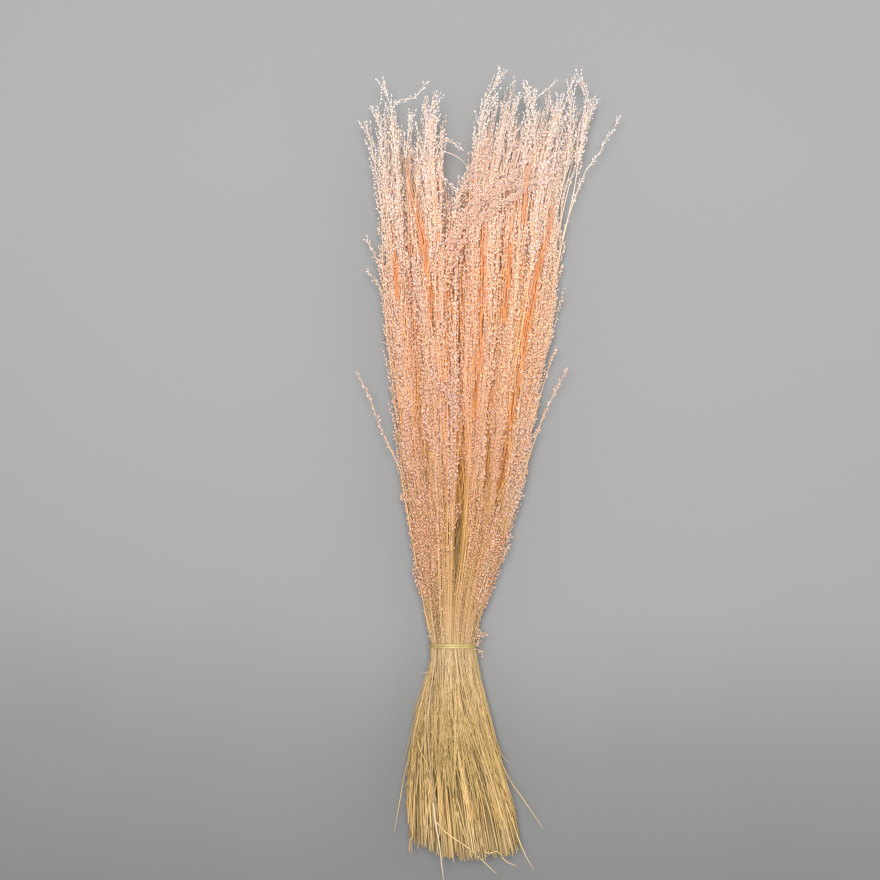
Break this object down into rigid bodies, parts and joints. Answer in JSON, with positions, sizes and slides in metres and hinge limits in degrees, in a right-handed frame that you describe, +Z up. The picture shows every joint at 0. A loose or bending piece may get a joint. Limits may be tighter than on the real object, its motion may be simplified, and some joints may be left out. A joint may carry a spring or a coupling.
{
  "type": "bunch of dried star grass",
  "caption": "Tied bunch of dried grass with pink-dyed plumes, lying on its side for table or shelf decoration.",
  "frame": {"origin": "centre of the bounding box at the surface the bunch lies on", "axes": "+Y along the stems towards the plumes, +Z up from the surface, +X to the right seen from above"},
  "size_m": [0.2468, 0.7482, 0.1038],
  "materials": {
    "straw": "dry grass straw, pale yellow-brown, satin along the stem",
    "plume": "dried spikelets dyed pale pink, soft and matte, nearly white at the tips",
    "tie_band": "olive-yellow elastic band, dull"
  },
  "bodies": {
    "root": {"tie_band": "tie_band", "stems_00": "straw", "plumes_00": "plume", "stems_01": "straw", "plumes_01": "plume", "stems_02": "straw", "plumes_02": "plume", "stems_03": "straw", "plumes_03": "plume", "stems_04": "straw", "plumes_04": "plume", "stems_05": "straw", "plumes_05": "plume", "stems_06": "straw", "plumes_06": "plume", "stems_07": "straw", "plumes_07": "plume", "stems_08": "straw", "plumes_08": "plume", "stems_09": "straw", "plumes_09": "plume", "stems_10": "straw", "plumes_10": "plume", "stems_11": "straw", "plumes_11": "plume", "stems_12": "straw", "plumes_12": "plume", "stems_13": "straw", "plumes_13": "plume", "stems_14": "straw", "plumes_14": "plume", "stems_15": "straw", "plumes_15": "plume", "stems_16": "straw", "plumes_16": "plume", "stems_17": "straw", "plumes_17": "plume", "stems_18": "straw", "plumes_18": "plume", "stems_19": "straw", "plumes_19": "plume", "stems_20": "straw", "plumes_20": "plume", "stems_21": "straw", "plumes_21": "plume", "stems_22": "straw", "plumes_22": "plume"}
  },
  "joints": []
}
